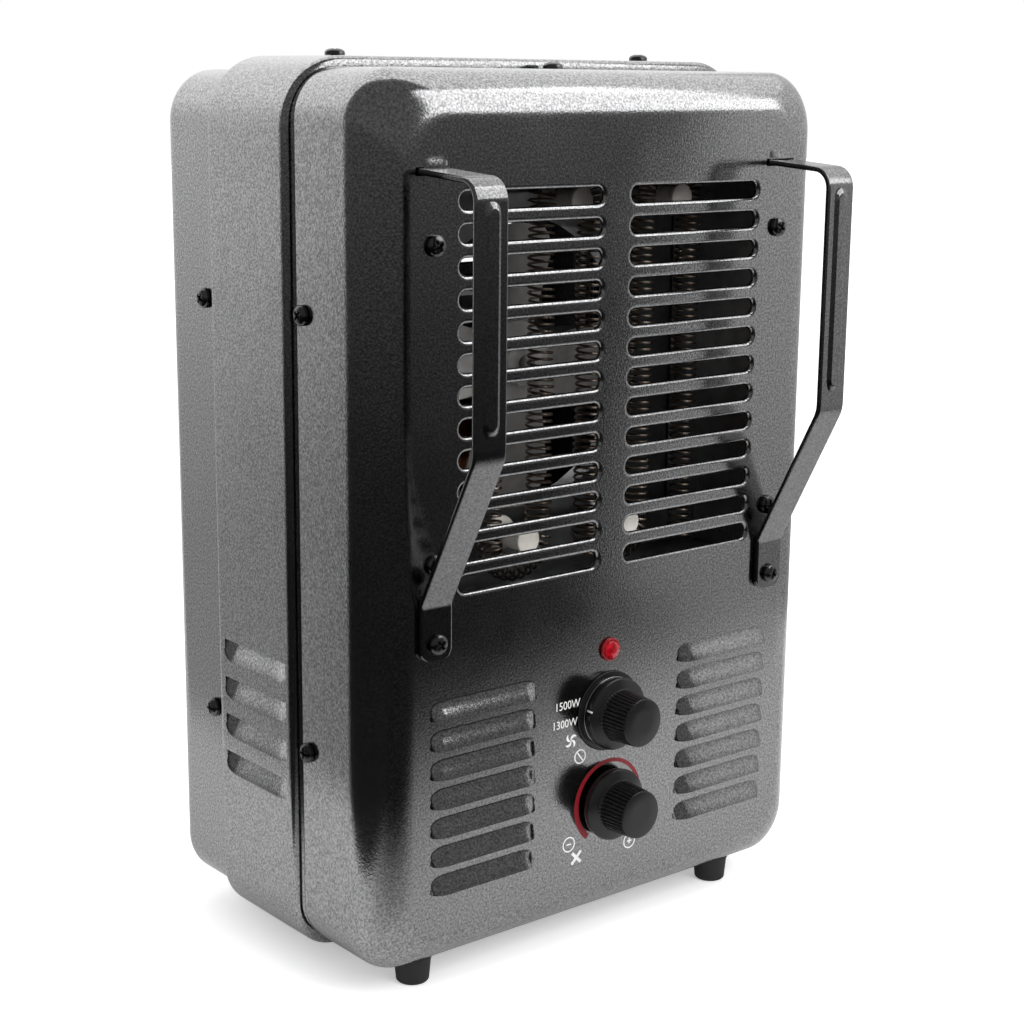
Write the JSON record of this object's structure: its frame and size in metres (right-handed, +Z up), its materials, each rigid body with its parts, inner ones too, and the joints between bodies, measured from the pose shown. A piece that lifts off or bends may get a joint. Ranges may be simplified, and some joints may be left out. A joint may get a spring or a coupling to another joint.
{
  "type": "portable space heater",
  "caption": "Upright sheet-metal fan heater with louvred grille, front carry handles, selector and thermostat knobs, coiled wire elements, fan and tip-over switch.",
  "frame": {"origin": "middle of the bounding box at the level of the feet's flat undersides", "axes": "+Z up, -Y towards the side with the grille and knobs, +X to the right seen from that side"},
  "size_m": [0.2158, 0.1694, 0.3305],
  "materials": {
    "case": "satin hammertone charcoal enamel",
    "black_plastic": "satin black moulding",
    "rubber": "matte",
    "red_lens": "clear red, faceted",
    "glow_glass": "clear neon lamp glass",
    "black_steel": "black oxide",
    "zinc_steel": "satin zinc plate",
    "aluminium": "bright rolled sheet",
    "element_wire": "oxidised resistance wire",
    "ceramic": "unglazed white steatite",
    "lamination": "stacked dark sheets",
    "winding": "varnished copper winding",
    "switch_body": "dark phenolic moulding"
  },
  "bodies": {
    "root": {"front_shell": "case", "mid_shell": "case", "rear_cover": "case", "left_handle": "case", "right_handle": "case", "selector_switch": "switch_body", "selector_bezel": "zinc_steel", "thermostat": "ceramic", "indicator_lens": "red_lens", "indicator_lamp": "glow_glass", "foot_front_left": "rubber", "foot_front_right": "rubber", "foot_rear_left": "rubber", "foot_rear_right": "rubber", "cord_grommet": "black_plastic", "partition_plate": "zinc_steel", "heat_baffle": "zinc_steel", "element_rail_top": "zinc_steel", "element_rail_bottom": "zinc_steel", "heating_coil_left": "element_wire", "heating_coil_right": "element_wire", "insulator_bottom_left": "ceramic", "insulator_bottom_right": "ceramic", "insulator_top_left": "ceramic", "insulator_top_right": "ceramic", "fan_shroud": "zinc_steel", "motor_stator": "lamination", "motor_coil": "winding", "motor_yoke": "zinc_steel", "motor_bearing_plate": "zinc_steel", "thermal_cutout": "black_plastic", "tip_switch_frame": "switch_body", "terminal_block": "ceramic", "face_screw_upper_left": "black_steel", "front_side_screw_upper_left": "black_steel", "rear_side_screw_upper_left": "black_steel", "face_screw_lower_left": "black_steel", "front_side_screw_lower_left": "black_steel", "rear_side_screw_lower_left": "black_steel", "handle_screw_left": "black_steel", "top_screw_left": "black_steel", "face_screw_upper_right": "black_steel", "front_side_screw_upper_right": "black_steel", "rear_side_screw_upper_right": "black_steel", "face_screw_lower_right": "black_steel", "front_side_screw_lower_right": "black_steel", "rear_side_screw_lower_right": "black_steel", "handle_screw_right": "black_steel", "top_screw_right": "black_steel", "front_top_screw": "black_steel", "rear_top_screw": "black_steel"},
    "selector": {"selector_knob": "black_plastic", "selector_shaft": "zinc_steel"},
    "thermostat_dial": {"thermostat_knob": "black_plastic", "thermostat_shaft": "zinc_steel"},
    "fan": {"fan_blade": "aluminium", "motor_rotor": "zinc_steel"},
    "tip_arm": {"tip_pendulum": "zinc_steel"}
  },
  "joints": [
    {"name": "selector_turn", "type": "hinge", "parent": "root", "child": "selector", "pos_m": [0, -0.05285, 0.0923], "axis": [0, -1, 0], "range_deg": [0, 66]},
    {"name": "thermostat_turn", "type": "hinge", "parent": "root", "child": "thermostat_dial", "pos_m": [0, -0.05285, 0.0569], "axis": [0, 1, 0], "range_deg": [-270, 0]},
    {"name": "fan_spin", "type": "hinge", "parent": "root", "child": "fan", "pos_m": [0, 0.00315, 0.2162], "axis": [0, 1, 0], "continuous": true},
    {"name": "tip_swing", "type": "hinge", "parent": "root", "child": "tip_arm", "pos_m": [-0.058, 0.01515, 0.078], "axis": [0, 1, 0], "range_deg": [-20, 20]}
  ]
}
